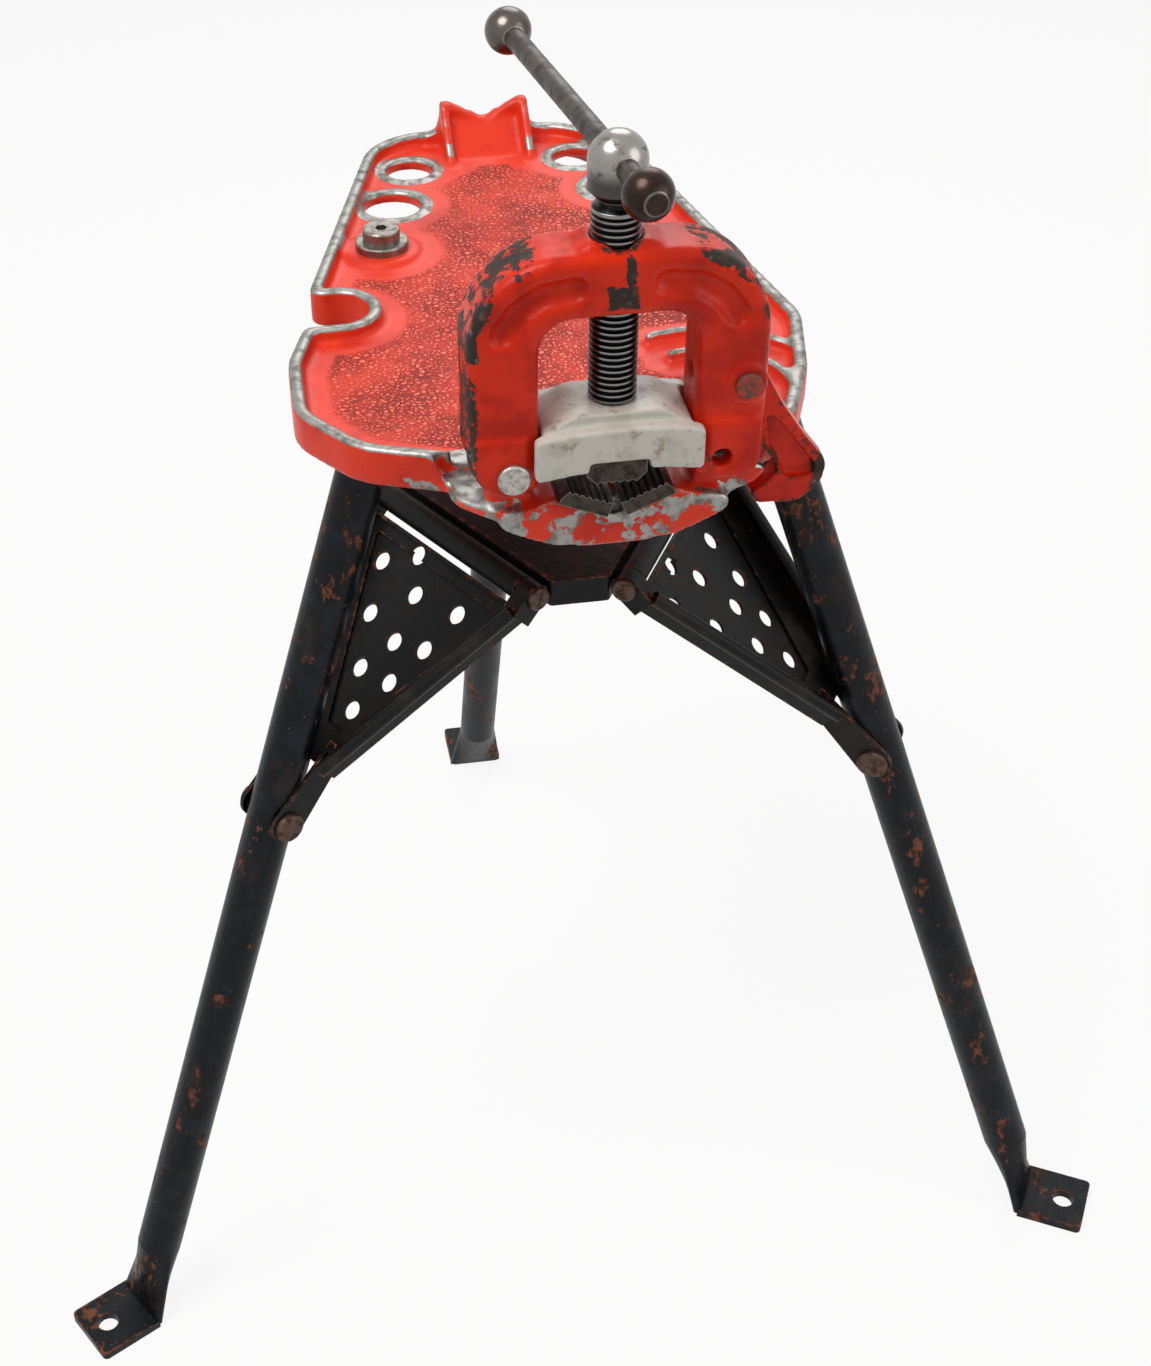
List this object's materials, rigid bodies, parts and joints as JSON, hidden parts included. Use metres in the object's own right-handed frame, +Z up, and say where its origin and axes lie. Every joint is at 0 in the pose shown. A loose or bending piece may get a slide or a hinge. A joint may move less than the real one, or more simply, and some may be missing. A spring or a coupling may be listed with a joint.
{
  "type": "tripod pipe vise stand",
  "caption": "Portable tripod stand with a yoke pipe vise on a red tray, folding tubular legs, a three-part perforated tool pan and a side hook that holds the hinged yoke shut.",
  "frame": {"origin": "centre of the foot bolt circle, on the floor", "axes": "+Z up, +Y to the rear along the pipe's axis, +X to the side of the hook"},
  "size_m": [0.8222, 0.7248, 0.943],
  "materials": {
    "tray_enamel": "red-orange enamel, worn to bare metal on the rims",
    "vise_enamel": "red-orange enamel with dark chips",
    "block_paint": "stained off-white paint",
    "leg_paint": "blue-black paint with rust",
    "pan_paint": "dull black paint with rusty edges",
    "rivet_steel": "brown oxidised steel",
    "pin_steel": "worn steel",
    "jaw_steel": "dark oxidised tool steel",
    "screw_steel": "oiled dark steel",
    "bar_steel": "worn dark steel",
    "ball_steel": "polished dark steel",
    "fastener_steel": "grey steel"
  },
  "bodies": {
    "base": {"vise_base": "tray_enamel", "tray_washer": "fastener_steel", "tray_bolt": "fastener_steel", "tray_nut": "fastener_steel", "lower_jaw_left": "jaw_steel", "lower_jaw_right": "jaw_steel", "lower_jaw_screws": "fastener_steel", "leg_hinge_bolts": "rivet_steel", "leg_hinge_nuts": "rivet_steel"},
    "yoke": {"yoke": "vise_enamel", "yoke_pin": "pin_steel", "hook_pin": "pin_steel"},
    "hook": {"hook": "vise_enamel"},
    "upper_jaw": {"jaw_block": "block_paint", "upper_jaw": "jaw_steel", "upper_jaw_screws": "fastener_steel", "keeper_pins": "fastener_steel"},
    "screw": {"screw": "screw_steel"},
    "handle": {"handle_bar": "bar_steel", "handle_ball_far": "ball_steel", "handle_ball_near": "ball_steel"},
    "leg_left": {"leg_left": "leg_paint", "leg_rivet_left": "rivet_steel"},
    "leg_right": {"leg_right": "leg_paint", "leg_rivet_right": "rivet_steel"},
    "leg_rear": {"leg_rear": "leg_paint", "leg_rivet_rear": "rivet_steel"},
    "hub": {"hub_plate": "pan_paint", "hinge_pin_left": "rivet_steel", "hinge_pin_right": "rivet_steel", "hinge_pin_rear": "rivet_steel"},
    "pan_left": {"pan_left": "pan_paint"},
    "pan_right": {"pan_right": "pan_paint"},
    "pan_rear": {"pan_rear": "pan_paint"}
  },
  "joints": [
    {"name": "yoke_swing", "type": "hinge", "parent": "base", "child": "yoke", "pos_m": [-0.062, -0.202, 0.744], "axis": [0, -1, 0], "range_deg": [0, 90]},
    {"name": "hook_swing", "type": "hinge", "parent": "yoke", "child": "hook", "pos_m": [0.075, -0.202, 0.792], "axis": [0, -1, 0], "range_deg": [0, 80]},
    {"name": "jaw_slide", "type": "slide", "parent": "yoke", "child": "upper_jaw", "axis": [0, 0, 1], "range_m": [0, 0.0441]},
    {"name": "screw_turn", "type": "hinge", "parent": "upper_jaw", "child": "screw", "pos_m": [0, -0.202, 0.926], "axis": [0, 0, 1], "range_deg": [0, 3960]},
    {"name": "handle_slide", "type": "slide", "parent": "screw", "child": "handle", "axis": [-0.1392, 0.9903, 0], "range_m": [-0.168, 0.0155]},
    {"name": "leg_left_fold", "type": "hinge", "parent": "base", "child": "leg_left", "pos_m": [-0.12843, -0.07415, 0.702], "axis": [0.5, -0.866, 0], "range_deg": [0, 20]},
    {"name": "leg_right_fold", "type": "hinge", "parent": "base", "child": "leg_right", "pos_m": [0.12843, -0.07415, 0.702], "axis": [0.5, 0.866, 0], "range_deg": [0, 20]},
    {"name": "leg_rear_fold", "type": "hinge", "parent": "base", "child": "leg_rear", "pos_m": [0, 0.1483, 0.702], "axis": [-1, 0, 0], "range_deg": [0, 20]},
    {"name": "hub_lift", "type": "slide", "parent": "base", "child": "hub", "axis": [0, 0, 1], "range_m": [0, 0.0462]},
    {"name": "pan_left_fold", "type": "hinge", "parent": "hub", "child": "pan_left", "pos_m": [-0.07448, -0.043, 0.582], "axis": [0.5, -0.866, 0], "range_deg": [0, 31]},
    {"name": "pan_right_fold", "type": "hinge", "parent": "hub", "child": "pan_right", "pos_m": [0.07448, -0.043, 0.582], "axis": [0.5, 0.866, 0], "range_deg": [0, 31]},
    {"name": "pan_rear_fold", "type": "hinge", "parent": "hub", "child": "pan_rear", "pos_m": [0, 0.086, 0.582], "axis": [-1, 0, 0], "range_deg": [0, 31]}
  ],
  "couplings": [
    {"joint": "hook_swing", "follows": "yoke_swing", "ratio": 0.88},
    {"joint": "jaw_slide", "follows": "screw_turn", "m_per_rad": 0.00063662},
    {"joint": "leg_right_fold", "follows": "leg_left_fold", "ratio": 1},
    {"joint": "leg_rear_fold", "follows": "leg_left_fold", "ratio": 1},
    {"joint": "hub_lift", "follows": "leg_left_fold", "m_per_rad": 0.13166},
    {"joint": "pan_left_fold", "follows": "leg_left_fold", "ratio": 1.5334},
    {"joint": "pan_right_fold", "follows": "leg_left_fold", "ratio": 1.5334},
    {"joint": "pan_rear_fold", "follows": "leg_left_fold", "ratio": 1.5334}
  ]
}
